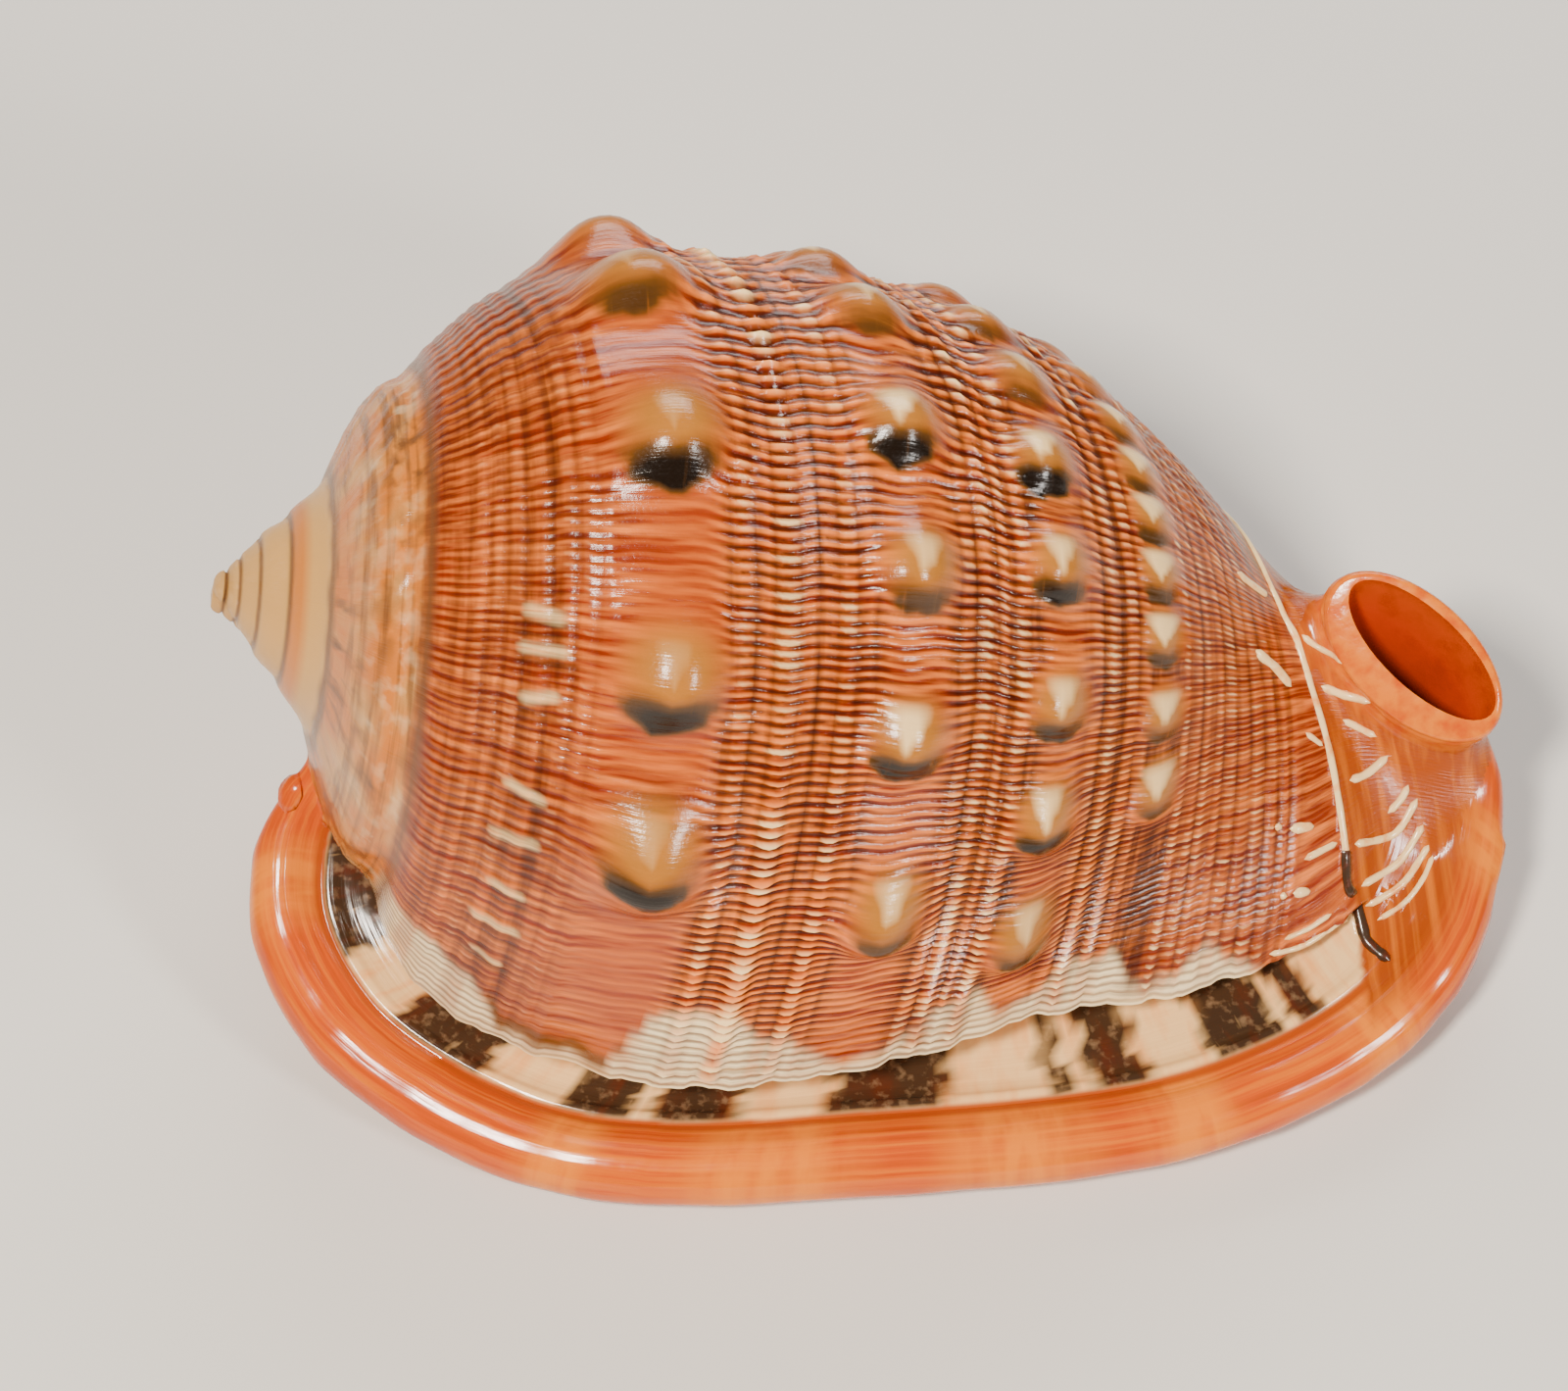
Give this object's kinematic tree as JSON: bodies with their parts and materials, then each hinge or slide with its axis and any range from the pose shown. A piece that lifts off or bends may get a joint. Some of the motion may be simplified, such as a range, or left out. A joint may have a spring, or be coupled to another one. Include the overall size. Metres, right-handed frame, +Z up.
{
  "type": "helmet shell",
  "caption": "Large knobbed helmet shell with a rolled outer lip, toothed slot and recurved canal, lying aperture down",
  "frame": {"origin": "on the table under the middle of the shell's bounding box", "axes": "+X from the apex of the spire toward the canal, -Y toward the outer lip, +Z up from the table"},
  "size_m": [0.1406, 0.0978, 0.0784],
  "materials": {
    "shell": "glossy natural shell"
  },
  "bodies": {
    "root": {"shell": "shell"}
  },
  "joints": []
}
